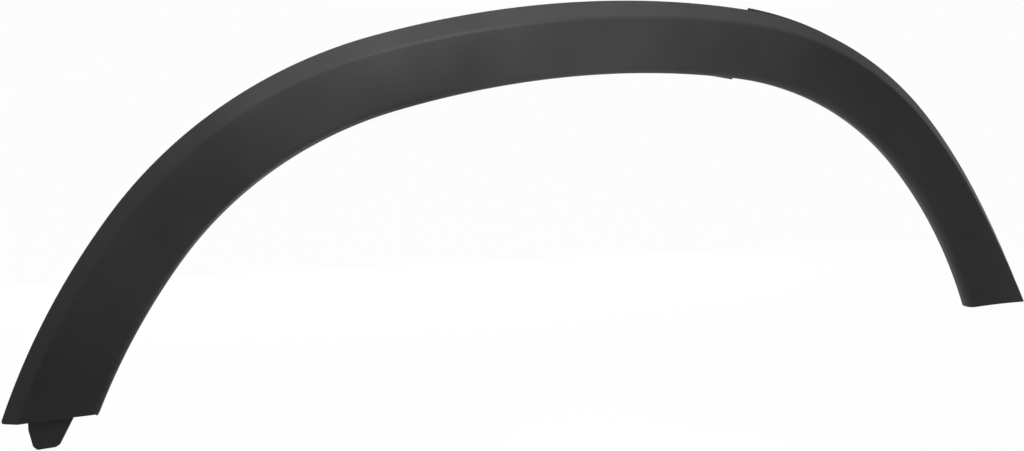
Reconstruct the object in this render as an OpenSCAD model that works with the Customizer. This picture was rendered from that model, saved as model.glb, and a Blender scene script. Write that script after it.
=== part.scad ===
// Wheel arch trim: one long moulding round the wheel opening, with push-in clips in the seats on its back.
// X runs along the car, Z is up and +Y points into the body, so the painted side of the car is behind the trim.
// The origin is on the axis of the crown locating pin, where the trim meets the body.

/* [Arch line] */
// Radius of the wheel opening over the crown
crown_r = 763; // [500:1:1200]
// Degrees of the crown arc to the left of the crown pin
crown_left_deg = 16; // [10:0.2:22]
// Degrees of the crown arc to the right of the crown pin
crown_right_deg = 7.4; // [4:0.2:16]
// Radius of the left shoulder
left_shoulder_r = 326; // [280:1:400]
// Degrees turned by the left shoulder
left_shoulder_deg = 38.6; // [28:0.2:44]
// Radius of the right shoulder
right_shoulder_r = 301; // [270:1:380]
// Degrees turned by the right shoulder
right_shoulder_deg = 37.6; // [30:0.2:46]
// Radius of the left leg below its shoulder
left_leg_r = 605; // [450:5:900]
// Radius of the right leg below its shoulder
right_leg_r = 463; // [400:1:900]
// Length of the left half along the wheel opening
left_len = 580; // [520:5:640]
// Length of the right half along the wheel opening
right_len = 470; // [430:5:520]
// Slant of the left end cut, as length gained for each millimetre of width
left_end_slant = 0.49; // [0:0.01:0.8]
// Slant of the right end cut, as length gained for each millimetre of width
right_end_slant = 0.43; // [0:0.01:0.8]
// Height of the crown pin above the wheel opening
pin_h = 31; // [28:1:34]

/* [Plan curve] */
// Radius, seen from above, that wraps the left half round the body
plan_left_r = 1645; // [1200:5:2600]
// Radius, seen from above, that wraps the right half round the body
plan_right_r = 1360; // [1100:5:2600]

/* [Section] */
// Width of the band at its narrowest place
narrow_w = 61; // [54:1:72]
// Distance from the crown pin to the narrowest place, on the right
narrow_at = 185; // [60:5:260]
// Width of the band at the left end
left_end_w = 72; // [58:1:84]
// Width of the band at the right end
right_end_w = 80; // [62:1:90]
// Power by which the band widens towards the left end
left_power = 1.4; // [1:0.1:6]
// Power by which the band widens towards the right end
right_power = 4.5; // [1:0.1:6]
// Depth from the face to the edge that meets the body
rim_depth = 14; // [12:0.5:18]
// Thickness of the moulding
wall = 2.5; // [2:0.1:3]
// How far the face bulges outwards between the bevel and the rolled edge
face_bulge = 1.5; // [0.5:0.1:3]
// Width of the outer bevel at the crown
crown_bevel_w = 14; // [8:0.5:18]
// Width of the outer bevel at the left end
left_bevel_w = 12; // [7:0.5:18]
// Width of the outer bevel at the right end
right_bevel_w = 8; // [6:0.5:18]
// Rounding of the bevel's crease over the crown
crown_crease_r = 10; // [4:0.5:14]
// Rounding of the bevel's crease at both ends
end_crease_r = 4; // [3:0.5:10]
// Height of the square outer edge below the bevel
edge_h = 2; // [1.5:0.1:3]
// Radius of the roll into the return flange
roll_r = 8; // [6:0.5:9]
// How far the return flange leans back over its depth
flange_draft = 0.5; // [0:0.1:1]

/* [Tongue at the left end] */
// Distance from the outer corner of the end to the tongue
tongue_inset = 22; // [16:1:26]
// Width of the tongue where it leaves the end
tongue_root_w = 38; // [30:1:42]
// Width of the tongue at its tip
tongue_tip_w = 21; // [16:1:28]
// How far the tongue stands out of the end
tongue_len = 23; // [15:1:35]
// Thickness of the tongue
tongue_t = 2.8; // [2:0.1:4]
// Rounding of the tongue's tip corners
tongue_corner_r = 4; // [2:0.5:6]
// Length of the tongue that is joined to the back of the face
tongue_lap = 14; // [10:1:20]

/* [Rear lip] */
// Start of the rear lip, right of the crown pin
lip_start = 102; // [80:1:130]
// Length over which the rear lip fades out
lip_len = 96; // [60:1:140]
// Height of the rear lip where it starts
lip_h = 1.6; // [0.8:0.1:2.5]

/* [Liner tabs] */
// Number of tabs left of the crown pin
left_tab_count = 4; // [2:1:5]
// Distance from the crown pin to the first tab on the left
left_tab_first = 62; // [40:1:90]
// Distance from the last tab on the left to the end
left_tab_margin = 116; // [80:1:140]
// Distance from the crown pin to the tab on the right
right_tab_at = 76; // [50:1:95]
// Width of a tab
tab_w = 28; // [22:1:34]
// How far a tab reaches behind the return flange
tab_reach = 16; // [14:1:22]
// Thickness of a tab
tab_t = 2.4; // [2:0.1:3]
// Rounding of a tab's free corners
tab_corner_r = 6; // [3:0.5:8]
// Diameter of the screw hole in a tab
screw_d = 6.5; // [5:0.5:8]
// Distance from the screw hole's centre to the tab's free edge
screw_margin = 7.5; // [6:0.5:9]

/* [Clip seats] */
// Number of clip seats on each side of the crown pin
seats_each_side = 4; // [3:1:5]
// Distance from the crown pin to the first clip seat on the left
left_seat_first = 110; // [90:1:130]
// Distance from the crown pin to the first clip seat on the right
right_seat_first = 92; // [80:1:110]
// Distance from the last clip seat on the left to the end
left_seat_margin = 92; // [80:1:110]
// Distance from the last clip seat on the right to the end
right_seat_margin = 64; // [50:1:80]
// Length of a clip seat along the band
seat_l = 22; // [20:1:26]
// Width of a clip seat across the band
seat_w = 18; // [17:1:22]
// Thickness of a seat's side walls
seat_wall = 1.6; // [1.2:0.1:2]
// Thickness of a seat's roof
seat_roof = 1.8; // [1.5:0.1:2.2]
// Gap left between a seat's roof and the body
seat_gap = 3; // [2.8:0.1:3.6]

/* [Clips] */
// Diameter of the clip's neck
neck_d = 6; // [5.4:0.2:7]
// Play of the neck in the slot of its seat, on each side
neck_play = 0.3; // [0.1:0.05:0.5]
// Diameter of the clip's foot
foot_d = 13; // [11:0.5:13.5]
// Thickness of the clip's foot
foot_t = 1.6; // [1:0.1:2]
// Diameter of the clip's skirt
skirt_d = 17; // [14:0.5:20]
// Thickness of the skirt
skirt_t = 0.6; // [0.5:0.1:0.8]
// Height of the dished skirt
skirt_rise = 1.4; // [1:0.1:1.6]
// Diameter of the stem over its barbs
barb_d = 8.4; // [7.4:0.1:9.5]
// Diameter of the stem between its barbs
stem_d = 5.6; // [4.5:0.1:6.5]
// Number of barbs
barb_count = 4; // [3:1:6]
// Distance from one barb to the next
barb_pitch = 3; // [2.4:0.1:4]
// Length of the pointed tip of the stem
clip_tip = 3; // [2:0.5:5]

/* [Locating pins] */
// Diameter of the locating pins
pin_d = 8; // [6:0.5:10]
// Length of the full round part of a pin behind the body line
pin_len = 10; // [8:1:16]
// Length of the bevelled tip of a pin
pin_tip = 2; // [1:0.5:3]
// Thickness of the disc under a pin, which meets the body
disc_t = 1.6; // [1.2:0.1:2.4]
// Reach of the four fins and their disc from a pin's axis
fin_reach = 8; // [7:0.5:10]
// Thickness of a fin
fin_t = 1.6; // [1.2:0.1:2]
// Distance from the second locating pin to the left end
second_pin_margin = 42; // [30:1:60]

/* [Gussets] */
// Distance between the gussets along the return flange
gusset_pitch = 42; // [34:1:60]
// Distance from the crown pin to the first gusset on each side
gusset_first = 21; // [15:1:30]
// Distance that the gussets keep from both ends
gusset_margin = 20; // [12:1:40]
// Thickness of a gusset
gusset_t = 1.6; // [1.2:0.1:2.2]
// Reach of a gusset across the face
gusset_reach = 15; // [13:1:17]

/* [Hidden] */
clip_count = 2 * seats_each_side;

LEFT = -1;
RIGHT = 1;
trim_black = "#2e2e2d";
clip_white = "#d9d6c9";
// Cuts and joined solids run this far into their neighbour
bite = 0.8;
// Length of one step of the sweep along the arch
step_len = 12;
// Each skin of the section has this many points on its crease, its face and its roll
crease_pts = 4;
face_pts = 4;
roll_pts = 6;
// Rounding of the square outer edge
edge_r = 0.8;

// Points on a plane
function unit(v) = v / norm(v);
function angle_of(v) = atan2(v[1], v[0]);
function across(v) = [v[1], -v[0]];
function mix(a, b, t) = a + (b - a) * t;

// Rounds the corner c between the points a and b with k steps of radius r
function rounded(a, c, b, r, k) =
    let (u = unit(a - c), v = unit(b - c), half = acos(u * v) / 2)
    let (centre = c + unit(u + v) * r / sin(half), run = r / tan(half))
    let (a0 = angle_of(c + u * run - centre), turn = angle_of(c + v * run - centre) - a0)
    let (sweep = turn > 180 ? turn - 360 : turn < -180 ? turn + 360 : turn)
    [for (i = [0:k]) centre + r * [cos(a0 + sweep * i / k), sin(a0 + sweep * i / k)]];

// Moves an open line of points sideways by a distance t
function beside(line, t) =
    [for (i = [0:len(line) - 1])
        let (from = unit(line[max(i, 1)] - line[max(i, 1) - 1]))
        let (to = unit(line[min(i + 1, len(line) - 1)] - line[min(i, len(line) - 2)]))
        line[i] + t * across(from + to) / (1 + from * to)];

// The arch line is a chain of tangent arcs, each given as [radius, degrees]
function arch_arcs(side) = side == LEFT
    ? [[crown_r, crown_left_deg], [left_shoulder_r, left_shoulder_deg], [left_leg_r, 90]]
    : [[crown_r, crown_right_deg], [right_shoulder_r, right_shoulder_deg], [right_leg_r, 90]];

// Place and slope at a distance along the chain: [sideways, height, degrees]
function along(arcs, s, i = 0, x = 0, z = 0, a = 0) =
    let (r = arcs[i][0], whole = r * arcs[i][1] * PI / 180, last = i == len(arcs) - 1)
    let (b = a + (last ? s : min(s, whole)) / r * 180 / PI)
    let (x2 = x + r * (sin(b) - sin(a)), z2 = z - r * (cos(a) - cos(b)))
    last || s <= whole ? [x2, z2, b] : along(arcs, s - whole, i + 1, x2, z2, b);

// Depth of the body behind the crown at a sideways distance, and its slope in degrees
function plan_r(x) = x < 0 ? plan_left_r : plan_right_r;
function plan_y(x) = plan_r(x) - sqrt(pow(plan_r(x), 2) - x * x);
function plan_deg(x) = asin(x / plan_r(x));

// A point of the trim: s along the wheel opening, n outwards across the band, d deep behind the face
function spot(side, s, n, d) =
    let (p = along(arch_arcs(side), s))
    let (x = side * (p[0] + n * sin(p[2])))
    [x, plan_y(x) + d - rim_depth, p[1] + n * cos(p[2]) - pin_h];

function half_len(side) = side == LEFT ? left_len : right_len;
function end_slant(side) = side == LEFT ? left_end_slant : right_end_slant;

// Width of the band at the share t of a half length: it grows from the narrowest place to both ends
function band_w(side, t) =
    let (at = side * t * half_len(side))
    let (to_left = max(0, narrow_at - at) / (narrow_at + left_len))
    let (to_right = max(0, at - narrow_at) / (right_len - narrow_at))
    narrow_w + (left_end_w - narrow_w) * pow(to_left, left_power)
        + (right_end_w - narrow_w) * pow(to_right, right_power);

function bevel_w(side, t) = mix(crown_bevel_w, side == LEFT ? left_bevel_w : right_bevel_w, t);
function crease_r(t) = mix(crown_crease_r, end_crease_r, min(1, 1.6 * t));

// Outer skin of the section as [n, d], from the outer edge to the end of the return flange
function skin(side, t) =
    let (w = band_w(side, t), fold = w - bevel_w(side, t), edge = [w, rim_depth - edge_h])
    let (face = [for (i = [0:face_pts + 1])
        let (q = i / (face_pts + 1)) [fold * (1 - q), -face_bulge * 4 * q * (1 - q)]])
    let (flange_end = [flange_draft, rim_depth])
    concat(
        [[w, rim_depth]],
        rounded([w, rim_depth], edge, face[0], edge_r, 1),
        rounded(edge, face[0], face[1], crease_r(t), crease_pts),
        [for (i = [1:face_pts]) face[i]],
        rounded(face[face_pts], face[face_pts + 1], flange_end, roll_r, roll_pts),
        [flange_end]
    );

// Depth of the face's back at n across the band, for what stands on it
function back_d(side, t, n) =
    let (fold = band_w(side, t) - bevel_w(side, t), q = 1 - n / fold)
    wall - face_bulge * 4 * q * (1 - q);

// One ring of the sweep, at the share t of the half length
function ring(side, t) =
    let (out = skin(side, t), in = beside(out, wall))
    let (loop = concat(out, [for (i = [len(in) - 1:-1:0]) in[i]]))
    [for (p = loop) spot(side, t * (half_len(side) + end_slant(side) * p[0]), p[0], p[1])];

// Skins a row of rings into a closed solid; each ring is an outer line and, back again, an inner one
module sweep_rings(rings) {
    m = len(rings[0]);
    last = len(rings) - 1;
    side_faces = [for (j = [0:last - 1], i = [0:m - 1], half = [0, 1])
        let (a = j * m + i, b = j * m + (i + 1) % m)
        half == 0 ? [a, b + m, b] : [a, a + m, b + m]];
    cap = [for (i = [0:m / 2 - 2], half = [0, 1])
        half == 0 ? [i, m - 2 - i, m - 1 - i] : [i, i + 1, m - 2 - i]];
    far_cap = [for (f = cap) [last * m + f[2], last * m + f[1], last * m + f[0]]];
    polyhedron([for (r = rings) each r], concat(side_faces, cap, far_cap), convexity = 10);
}

module band() {
    nl = ceil(left_len / step_len);
    nr = ceil(right_len / step_len);
    sweep_rings(concat(
        [for (j = [nl:-1:1]) ring(LEFT, j / nl)],
        [for (j = [0:nr]) ring(RIGHT, j / nr)]
    ));
}

// Low lip on the rear of the outer edge, highest at its square start
module rear_lip() {
    steps = 9;
    sweep_rings([for (j = [0:steps])
        let (s = lip_start + lip_len * j / steps, t = s / right_len, w = band_w(RIGHT, t))
        let (top = w + mix(lip_h, -wall / 4, j / steps), foot = w - wall / 2)
        [for (p = [[foot, rim_depth - 1.6], [top, rim_depth - 1.6], [top, rim_depth - 0.3],
            [foot, rim_depth - 0.3]]) spot(RIGHT, s + t * end_slant(RIGHT) * p[0], p[0], p[1])]]);
}

// Even places from the first to the last
function spread(first, last, count) = [for (i = [0:count - 1]) mix(first, last, i / (count - 1))];

// Share of the half length that a place along the opening has reached
function share(side, s, n) = s / (half_len(side) + end_slant(side) * n);

// Middle of the face, a little nearer the bevel, for what stands on its back
function mid_n(side, s) = (band_w(side, share(side, s, 0)) - bevel_w(side, share(side, s, 0))) / 2 + 3;

// Each clip seat as [side, distance], numbered from the left end to the right end
seats = concat(
    [for (s = spread(left_len - left_seat_margin, left_seat_first, seats_each_side)) [LEFT, s]],
    [for (s = spread(right_seat_first, right_len - right_seat_margin, seats_each_side)) [RIGHT, s]]
);
roof_top = rim_depth - seat_gap;
roof_under = roof_top - seat_roof;
// Back of the face where the bulge is highest, and the depth at which standing parts begin inside it
hollow_d = wall - face_bulge;
root_d = hollow_d - bite;

// Local axes on the arch line: x leftwards along the band, y outwards across it, z into the body
module on_arch(side, s, n) {
    translate(spot(side, s, n, 0))
        rotate([90, 0, 180])
            rotate([0, 0, side * along(arch_arcs(side), s)[2]])
                children();
}

// The same axes, turned so that z stands square on the curved back of the face
module on_back(side, s, n) {
    here = spot(side, s, n, 0);
    translate(here)
        rotate([90, 0, 180 + plan_deg(here[0])])
            rotate([0, 0, side * along(arch_arcs(side), s)[2]])
                children();
}

// Open box with a slot in its roof, into which the foot of a clip slides from its open side
module clip_seat() {
    slot_r = neck_d / 2 + neck_play;
    mouth = seat_l / 2 + 1;
    difference() {
        translate([-seat_l / 2, -seat_w / 2, root_d])
            cube([seat_l, seat_w, roof_top - root_d]);
        translate([-mouth, seat_wall - seat_w / 2, root_d - 1])
            cube([mouth + seat_l / 2 - seat_wall, seat_w - 2 * seat_wall, roof_under - root_d + 1]);
        translate([0, 0, roof_under - 1])
            cylinder(r = slot_r, h = seat_roof + 2, $fn = 48);
        translate([0, 0, roof_under - 1])
            linear_extrude(seat_roof + 2)
                polygon([[0, slot_r], [0, -slot_r], [3 - mouth, -slot_r], [-mouth, -slot_r - 2],
                    [-mouth, slot_r + 2], [3 - mouth, slot_r]]);
    }
}

// Turned outline of a push-in clip: foot, neck, dished skirt, barbed stem and tip
module clip() {
    neck_r = neck_d / 2;
    skirt_r = skirt_d / 2;
    stem_r = stem_d / 2;
    barb_r = barb_d / 2;
    hub = roof_top + 0.2;
    first_barb = hub + skirt_rise + skirt_t + 1;
    top = first_barb + barb_count * barb_pitch;
    barbs = [for (i = [0:barb_count - 1]) each [
        [stem_r, first_barb + i * barb_pitch],
        [barb_r, first_barb + (i + 0.1) * barb_pitch],
        [barb_r, first_barb + (i + 0.25) * barb_pitch],
        [stem_r, first_barb + (i + 0.9) * barb_pitch]
    ]];
    color(clip_white)
        rotate_extrude($fn = 48)
            polygon(concat(
                [[0, roof_under - foot_t], [foot_d / 2, roof_under - foot_t], [foot_d / 2, roof_under],
                    [neck_r, roof_under], [neck_r, hub], [neck_r + 1.4, hub], [skirt_r, hub + skirt_rise],
                    [skirt_r, hub + skirt_rise + skirt_t], [stem_r + 0.6, hub + skirt_t + 0.3]],
                barbs,
                [[stem_r, top], [1.4, top + clip_tip], [0, top + clip_tip]]
            ));
}

// Round pin on a disc that meets the body, carried by four fins
module locating_pin() {
    disc_under = rim_depth - disc_t;
    translate([0, 0, disc_under])
        cylinder(d = pin_d, h = disc_t + pin_len, $fn = 48);
    translate([0, 0, rim_depth + pin_len])
        cylinder(d1 = pin_d, d2 = pin_d - 2 * pin_tip, h = pin_tip, $fn = 48);
    translate([0, 0, disc_under])
        cylinder(r = fin_reach, h = disc_t, $fn = 48);
    for (turn = [0, 90])
        rotate([0, 0, turn])
            translate([-fin_reach + bite, -fin_t / 2, root_d])
                cube([2 * fin_reach - 2 * bite, fin_t, disc_under + bite - root_d]);
}

// Rounded tab with a screw hole, standing behind the edge of the return flange
module liner_tab(side, s) {
    slope = along(arch_arcs(side), s)[2];
    root = rim_depth - 5;
    tip = rim_depth + tab_reach;
    corner = tab_w / 2 - tab_corner_r;
    on_arch(side, s, flange_draft + 0.2)
        rotate([0, atan(tan(plan_deg(spot(side, s, 0, 0)[0])) * cos(slope)), 0])
            translate([0, tab_t, 0])
                rotate([90, 0, 0])
                    linear_extrude(tab_t)
                        difference() {
                            union() {
                                translate([-tab_w / 2, root])
                                    square([tab_w, tip - tab_corner_r - root]);
                                translate([-corner, root])
                                    square([2 * corner, tip - root]);
                                for (x = [-corner, corner])
                                    translate([x, tip - tab_corner_r])
                                        circle(r = tab_corner_r, $fn = 48);
                            }
                            translate([0, tip - screw_margin])
                                circle(d = screw_d, $fn = 48);
                        }
}

// Thin web in the hollow of the roll, between the return flange and the face
module gusset(side, s) {
    t = share(side, s, 0);
    deep = back_d(side, t, gusset_reach);
    outline = concat(
        [[wall / 2, rim_depth - 1.5], [wall + 0.8, rim_depth - 1.5], [gusset_reach, deep + 1.2],
            [gusset_reach, deep - bite]],
        [for (a = [90:-15:0]) [roll_r, roll_r] - (roll_r - wall / 2) * [cos(a), sin(a)]]
    );
    foot = spot(side, s, 0, 0)[1];
    on_arch(side, s, 0)
        translate([-gusset_t / 2, 0, 0])
            rotate([90, 0, 90])
                linear_extrude(gusset_t)
                    polygon([for (p = outline) [p[0], spot(side, s, p[0], p[1])[1] - foot]]);
}

// Flat trapezoid tongue behind the left end, joined to the back of the face
module tongue() {
    outer = spot(LEFT, left_len + left_end_slant * left_end_w, left_end_w, 0);
    inner = spot(LEFT, left_len, 0, 0);
    cut = inner - outer;
    tip_x = tongue_inset + (tongue_root_w - tongue_tip_w) / 5;
    r = tongue_corner_r;
    left_tip = rounded([tongue_inset, 0], [tip_x, -tongue_len], [tip_x + tongue_tip_w, -tongue_len], r, 6);
    right_tip = rounded([tip_x, -tongue_len], [tip_x + tongue_tip_w, -tongue_len],
        [tongue_inset + tongue_root_w, 0], r, 6);
    translate(outer)
        rotate([0, 0, atan2(cut[1], cut[0])])
            rotate([0, -atan2(cut[2], norm([cut[0], cut[1]])), 0])
                rotate([90, 0, 0]) {
                    translate([0, 0, -wall + bite - tongue_t])
                        linear_extrude(tongue_t)
                            polygon(concat([[tongue_inset + tongue_root_w, tongue_lap],
                                [tongue_inset, tongue_lap], [tongue_inset, 0]], left_tip, right_tip,
                                [[tongue_inset + tongue_root_w, 0]]));
                    translate([tongue_inset, bite, -wall + bite - tongue_t])
                        cube([tongue_root_w, tongue_lap - bite, tongue_t + wall - bite - root_d]);
                }
}

module arch_moulding() {
    color(trim_black) {
        band();
        rear_lip();
        tongue();
        for (place = seats)
            on_back(place[0], place[1], mid_n(place[0], place[1]))
                clip_seat();
        on_back(LEFT, 0, pin_h)
            locating_pin();
        on_back(LEFT, left_len - second_pin_margin, mid_n(LEFT, left_len - second_pin_margin))
            locating_pin();
        for (s = spread(left_tab_first, left_len - left_tab_margin, left_tab_count))
            liner_tab(LEFT, s);
        liner_tab(RIGHT, right_tab_at);
        for (side = [LEFT, RIGHT])
            for (s = [gusset_first:gusset_pitch:half_len(side) - gusset_margin])
                gusset(side, s);
    }
}

arch_moulding();
for (i = [1:clip_count])
    on_back(seats[i - 1][0], seats[i - 1][1], mid_n(seats[i - 1][0], seats[i - 1][1]))
            clip();
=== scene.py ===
"""Wheel arch trim in Blender: the band, what stands on its back, clips, materials, floor, light and camera."""
import math

import bmesh
import bpy
from mathutils import Euler, Matrix, Vector


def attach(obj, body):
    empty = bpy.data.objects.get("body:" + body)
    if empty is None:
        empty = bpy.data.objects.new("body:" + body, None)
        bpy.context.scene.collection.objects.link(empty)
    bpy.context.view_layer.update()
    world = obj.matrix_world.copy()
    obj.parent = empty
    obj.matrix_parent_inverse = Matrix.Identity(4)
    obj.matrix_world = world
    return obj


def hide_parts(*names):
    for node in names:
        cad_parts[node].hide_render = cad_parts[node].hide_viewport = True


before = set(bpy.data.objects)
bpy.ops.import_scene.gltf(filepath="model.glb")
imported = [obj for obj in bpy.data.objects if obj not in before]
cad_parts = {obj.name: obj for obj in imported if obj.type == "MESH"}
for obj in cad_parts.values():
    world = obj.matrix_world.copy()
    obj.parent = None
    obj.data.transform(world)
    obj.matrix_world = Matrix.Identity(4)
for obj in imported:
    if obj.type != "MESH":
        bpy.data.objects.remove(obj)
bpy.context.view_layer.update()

# Sizes in millimetres; where nothing else is said they are those of the part's source
LEFT, RIGHT = -1, 1
# Radius and turn in degrees of each tangent arc of the opening, from the crown outwards
ARCS = {
    LEFT: [(763, 16), (326, 38.6), (605, 90)],
    RIGHT: [(763, 7.4), (301, 37.6), (463, 90)],
}
HALF_LEN = {LEFT: 580, RIGHT: 470}
END_SLANT = {LEFT: 0.49, RIGHT: 0.43}
PLAN_R = {LEFT: 1645, RIGHT: 1360}
PIN_H = 31
# Width of the band: narrowest right of the crown, and wider towards both ends by a power of the way there
NARROW_W, NARROW_AT = 61, 185
END_W = {LEFT: 72, RIGHT: 80}
WIDENING = {LEFT: 1.4, RIGHT: 4.5}
# Section of the band
END_BEVEL_W = {LEFT: 12, RIGHT: 8}
CROWN_BEVEL_W = 14
CROWN_CREASE_R, END_CREASE_R, MOST_CREASE_R, CREASE_FADE = 10, 4, 8.5, 1.6
RIM_DEPTH, WALL, FACE_BULGE = 14, 2.5, 1.44
EDGE_H, EDGE_R, ROLL_R, FLANGE_DRAFT = 2, 0.8, 8, 0.5
FACE_STEPS, ROLL_STEPS, CREASE_STEPS, EDGE_STEPS = 12, 12, 8, 4
# How full the wall is at a distance from its free edges, which gives them a round lip
FREE_EDGE = [(0.0, 0.5), (0.12, 0.76), (0.35, 0.93), (0.75, 1.0)]
# The cut ends as seen: up to 1.6 mm from the source's, with rounded outer corners
CUT_LEN = {LEFT: 578.4, RIGHT: 470.6}
CUT_SLANT = {LEFT: 0.507, RIGHT: 0.403}
CUT_CORNER_R, CUT_EDGE_R = 2.2, 0.8
CORNER_COLUMNS = (1.3, 2, 3)
# Fineness of the band's table and mesh, and how far past both ends the arch line runs
STATIONS, ROWS = 49, 261
LINE_LEN, LINE_STEP = {LEFT: 640, RIGHT: 540}, 2
# Clip seats, and where the first and last of each side stand along the opening
SEAT_L, SEAT_W, SEAT_WALL, SEAT_ROOF, SEAT_GAP = 22, 18, 1.6, 1.8, 3
SEAT_COUNT, SEAT_OUTWARDS = 4, 3
SEAT_SPAN = {LEFT: (HALF_LEN[LEFT] - 92, 110), RIGHT: (92, HALF_LEN[RIGHT] - 64)}
SLOT_LEAD, SLOT_FLARE = 2, 1.33
ROOF_TOP = RIM_DEPTH - SEAT_GAP
ROOF_UNDER = ROOF_TOP - SEAT_ROOF
# How deep behind the outside of the face the parts on the back begin
ROOT_D = 0.2
# Clips
NECK_D, NECK_PLAY, FOOT_D, FOOT_T = 6, 0.3, 13, 1.6
SKIRT_D, SKIRT_T, SKIRT_RISE, SKIRT_FLAT, SKIRT_DISH, SKIRT_GAP = 17, 0.6, 1.4, 1.4, 0.3, 0.2
BARB_D, STEM_D, BARB_COUNT, BARB_PITCH, BARB_LEAD, CLIP_TIP, CLIP_TIP_R = 8.4, 5.6, 4, 3, 1, 3, 1.4
# Locating pins, each on a disc that is carried by two crossed plates
PIN_D, PIN_LEN, PIN_TIP, DISC_T, FIN_REACH, FIN_T = 8, 10, 2, 1.6, 8, 1.6
SECOND_PIN_AT = HALF_LEN[LEFT] - 42
# Liner tabs and their screw holes
TAB_W, TAB_REACH, TAB_T, TAB_CORNER_R, SCREW_D, SCREW_MARGIN = 28, 16, 2.4, 6, 6.5, 7.5
TAB_LAP, TAB_SET_IN, TAB_CORNER_STEPS, HOLE_STEPS = 5, 0.2, 8, 40
LEFT_TAB_SPAN, LEFT_TAB_COUNT = (62, HALF_LEN[LEFT] - 116), 4
RIGHT_TAB_AT, TAB_ROOT_AT, TAB_ROOT_FRONT = 76, 85, 10.5
# Gussets in the hollow of the roll
GUSSET_PITCH, GUSSET_FIRST, GUSSET_MARGIN, GUSSET_T, GUSSET_REACH = 42, 21, 20, 1.6, 15
GUSSET_STEP, GUSSET_TOP_W, GUSSET_TOE = 1.5, 0.8, 1.2
# Tongue behind the left end, a little wider at its root than the source's and with cut corners
TONGUE_LEFT, TONGUE_RIGHT = 23, 62
TONGUE_T, TONGUE_CORNER_R, TONGUE_LAP = 2.8, 2.5, 14
TONGUE_CORNERS = [(22.2, -5.5), (23.6, -20), (26.6, -23.6), (42.6, -23.2), (46.5, -21.4)]
# Nub at the inner corner of the left end
NUB_REACH, NUB_LAP = 2.4, 4
# Lip on the rear of the outer edge: it starts 5.5 mm nearer the crown than the source's
LIP_START, LIP_LEN, LIP_H, LIP_STEPS = 96.5, 101.5, 1.8, 24
LIP_FRONT, LIP_REAR = RIM_DEPTH - 1.6, RIM_DEPTH - 0.3
# How far a part reaches into the one that it stands on
BITE, ROOF_BITE = 0.8, 0.6
MM = 0.001
SHARP = math.radians(30)

# From here on in metres and degrees. The camera, fitted to the outline of the trim in the photograph
CAMERA_AT, CAMERA_DOWN, CAMERA_TO_RIGHT, CAMERA_LENS = (-0.5151, -1.3236, 0.0372), 8.105, 17.054, 57.18
# Floor, its sweep and the backdrop
FLOOR_Z, FLOOR_FRONT, FLOOR_W, SWEEP_AT, SWEEP_R, BACKDROP_H = -0.36, -8, 28, 9, 3, 9
# How white the floor is seen, and how strongly the world lights the trim
FLOOR_GLOW, WORLD_LIGHT = 0.98, 0.02
# Softboxes: where each stands, what it is aimed at, its size and its watts
SOFTBOXES = [
    # From the front, for the bright band along the crown
    ("softbox_crown", (-0.2, -0.3, 0.25), (-0.2, 0, 0), (0.3, 0.15), 2.5),
    # From straight above, for the bevel along the top
    ("softbox_over_left", (-0.45, -0.05, 0.2), (-0.4, 0, -0.1), (0.3, 0.15), 0.49),
    ("softbox_over_crown", (0.05, -0.05, 0.3), (0.05, 0, 0), (0.3, 0.15), 0.43),
    ("softbox_over_right", (0.3, -0.05, 0.25), (0.28, 0, -0.05), (0.3, 0.15), 0.2),
    # From the sides, for the lower faces
    ("softbox_left_rear", (-1.2, 0.35, 0.1), (-0.4, 0, -0.1), (0.5, 0.5), 0.7),
    ("softbox_low_right", (0.9, -0.6, -0.3), (0.4, 0, -0.15), (0.35, 0.35), 0.75),
    # From inside the opening, for the roll along it
    ("softbox_in_the_opening", (-0.1, -0.12, -0.28), (0.4, 0, -0.15), (0.2, 0.2), 0.84),
    ("softbox_under_left_shoulder", (-0.2, 0.05, -0.3), (-0.35, 0.03, -0.05), (0.2, 0.1), 0.35),
    # From the rear, for the back and its clips
    ("softbox_behind", (0, 1, -0.08), (0, 0, -0.1), (1.2, 0.4), 10),
]


def colour(code):
    """A hex colour as Blender's linear red, green, blue and alpha."""
    parts = [int(code[i:i + 2], 16) / 255 for i in (1, 3, 5)]
    return [p / 12.92 if p <= 0.04045 else ((p + 0.055) / 1.055) ** 2.4 for p in parts] + [1]


def add(tree, kind, sockets=None, **settings):
    """Adds a node, with its settings, and its sockets set to values or linked to other nodes' outputs."""
    node = tree.nodes.new(kind)
    for name, value in settings.items():
        setattr(node, name, value)
    for name, value in (sockets or {}).items():
        if isinstance(value, bpy.types.NodeSocket):
            tree.links.new(value, node.inputs[name])
        else:
            node.inputs[name].default_value = value
    return node


# The arch line and the section

def mix(a, b, t):
    return a + (b - a) * t


def along(side, s):
    """Sideways place, height and slope at a distance along the chain of arcs, of which the last runs on."""
    x = z = a = 0.0
    for i, (r, degrees) in enumerate(ARCS[side]):
        is_last = i == len(ARCS[side]) - 1
        step = s if is_last else min(s, r * math.radians(degrees))
        b = a + step / r
        x += r * (math.sin(b) - math.sin(a))
        z -= r * (math.cos(a) - math.cos(b))
        a = b
        s -= step
    return x, z, a


def plan_r(x):
    return PLAN_R[LEFT if x < 0 else RIGHT]


def plan_y(x):
    """How far the plan curve has bent back at a distance to the side of the crown."""
    return plan_r(x) - math.sqrt(plan_r(x) ** 2 - x * x)


def spot(side, s, n, d):
    """A point of the trim: s along the opening, n outwards across the band, d deep behind the face."""
    x, z, a = along(side, s)
    x = side * (x + n * math.sin(a))
    return Vector((x, plan_y(x) + d - RIM_DEPTH, z + n * math.cos(a) - PIN_H))


def share(side, s, n):
    """How much of the way from the crown to the cut end lies before a point of the band."""
    return s / (HALF_LEN[side] + END_SLANT[side] * n)


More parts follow.
